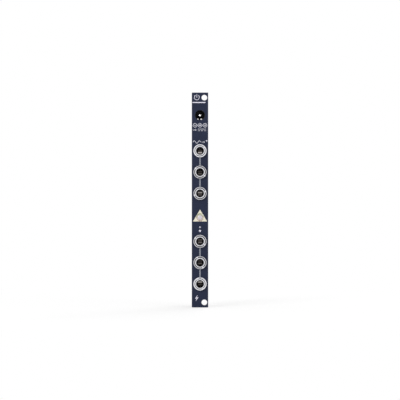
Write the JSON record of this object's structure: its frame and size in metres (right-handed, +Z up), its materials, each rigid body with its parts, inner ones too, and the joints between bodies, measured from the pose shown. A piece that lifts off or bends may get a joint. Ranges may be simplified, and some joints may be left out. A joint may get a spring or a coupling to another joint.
{
  "type": "eurorack power module",
  "caption": "Slim rack-mount synthesizer power module: circuit-board panel with barrel inlet, indicator light and linked patch sockets, and stacked supply boards with a bus header behind",
  "frame": {"origin": "midway between the two rail screw holes, on the panel's rear face, which seats on the rails", "axes": "+X right as seen from the front, +Y back into the rack, +Z up"},
  "size_m": [0.0098, 0.0402, 0.1284],
  "materials": {
    "panel_laminate": "satin dark blue solder mask over glass laminate, white print, one bare window",
    "board_laminate": "semi-gloss dark solder mask over glass laminate",
    "black_moulding": "moulded black plastic",
    "nickel_plate": "bright nickel plate on brass",
    "spring_bronze": "silver-washed spring bronze",
    "tinned_metal": "dull tin plate",
    "gold_plate": "thin gold plate",
    "lamp_lens": "milky diffusing resin",
    "nylon": "natural white nylon",
    "standoff_brass": "turned brass hexagon bar",
    "screw_steel": "zinc plated steel",
    "converter_case": "fine-textured black case with potting",
    "can_sleeve": "black shrink sleeve with a bare aluminium crown",
    "ferrite": "dark grey sintered ferrite",
    "chip_resin": "matt moulded resin",
    "fuse_polymer": "green coated polymer",
    "resistor_ceramic": "glazed black face on white ceramic, tinned ends",
    "capacitor_ceramic": "tan ceramic with tinned ends"
  },
  "bodies": {
    "chassis": {"bus_header_pins": "gold_plate", "bus_shroud": "black_moulding", "capacitor_leads": "tinned_metal", "chip_capacitors": "capacitor_ceramic", "chip_resistors": "resistor_ceramic", "chokes": "ferrite", "converter_leads": "tinned_metal", "front_panel": "panel_laminate", "inlet_center_pin": "nickel_plate", "inlet_housing": "black_moulding", "inlet_terminals": "tinned_metal", "input_capacitor": "can_sleeve", "input_diode": "chip_resin", "input_fuse": "fuse_polymer", "jack_1_bushing": "nickel_plate", "jack_1_housing": "black_moulding", "jack_1_nut": "nickel_plate", "jack_2_bushing": "nickel_plate", "jack_2_housing": "black_moulding", "jack_2_nut": "nickel_plate", "jack_3_bushing": "nickel_plate", "jack_3_housing": "black_moulding", "jack_3_nut": "nickel_plate", "jack_4_bushing": "nickel_plate", "jack_4_housing": "black_moulding", "jack_4_nut": "nickel_plate", "jack_5_bushing": "nickel_plate", "jack_5_housing": "black_moulding", "jack_5_nut": "nickel_plate", "jack_6_bushing": "nickel_plate", "jack_6_housing": "black_moulding", "jack_6_nut": "nickel_plate", "jack_switch_contacts": "tinned_metal", "jack_tip_terminals": "tinned_metal", "light_leads": "tinned_metal", "light_lens": "lamp_lens", "light_spacer": "nylon", "link_header_pins": "gold_plate", "link_headers": "black_moulding", "link_socket_tails": "tinned_metal", "link_sockets": "black_moulding", "negative_converter": "converter_case", "output_capacitor": "can_sleeve", "positive_converter": "converter_case", "power_board": "board_laminate", "regulator_chip": "chip_resin", "regulator_legs": "tinned_metal", "socket_board": "board_laminate", "standoff_screws": "screw_steel", "standoffs": "standoff_brass"},
    "jack_1_contact": {"jack_1_tip_spring": "spring_bronze"},
    "jack_2_contact": {"jack_2_tip_spring": "spring_bronze"},
    "jack_3_contact": {"jack_3_tip_spring": "spring_bronze"},
    "jack_4_contact": {"jack_4_tip_spring": "spring_bronze"},
    "jack_5_contact": {"jack_5_tip_spring": "spring_bronze"},
    "jack_6_contact": {"jack_6_tip_spring": "spring_bronze"},
    "inlet_contact": {"inlet_sleeve_spring": "spring_bronze"}
  },
  "joints": [
    {"name": "jack_1_tip_flex", "type": "hinge", "parent": "chassis", "child": "jack_1_contact", "pos_m": [-0.0026, 0.002, 0.02496], "axis": [1, 0, 0], "range_deg": [-14, 0], "stiffness_Nm_per_rad": 0.03},
    {"name": "jack_2_tip_flex", "type": "hinge", "parent": "chassis", "child": "jack_2_contact", "pos_m": [-0.0026, 0.002, 0.01226], "axis": [1, 0, 0], "range_deg": [-14, 0], "stiffness_Nm_per_rad": 0.03},
    {"name": "jack_3_tip_flex", "type": "hinge", "parent": "chassis", "child": "jack_3_contact", "pos_m": [-0.0026, 0.002, -0.00044], "axis": [1, 0, 0], "range_deg": [-14, 0], "stiffness_Nm_per_rad": 0.03},
    {"name": "jack_4_tip_flex", "type": "hinge", "parent": "chassis", "child": "jack_4_contact", "pos_m": [-0.0026, 0.002, -0.02909], "axis": [1, 0, 0], "range_deg": [-14, 0], "stiffness_Nm_per_rad": 0.03},
    {"name": "jack_5_tip_flex", "type": "hinge", "parent": "chassis", "child": "jack_5_contact", "pos_m": [-0.0026, 0.002, -0.04179], "axis": [1, 0, 0], "range_deg": [-14, 0], "stiffness_Nm_per_rad": 0.03},
    {"name": "jack_6_tip_flex", "type": "hinge", "parent": "chassis", "child": "jack_6_contact", "pos_m": [-0.0026, 0.002, -0.0545], "axis": [1, 0, 0], "range_deg": [-14, 0], "stiffness_Nm_per_rad": 0.03},
    {"name": "inlet_sleeve_flex", "type": "hinge", "parent": "chassis", "child": "inlet_contact", "pos_m": [-0.0026, 0.008, 0.04685], "axis": [1, 0, 0], "range_deg": [0, 11], "stiffness_Nm_per_rad": 0.05}
  ]
}
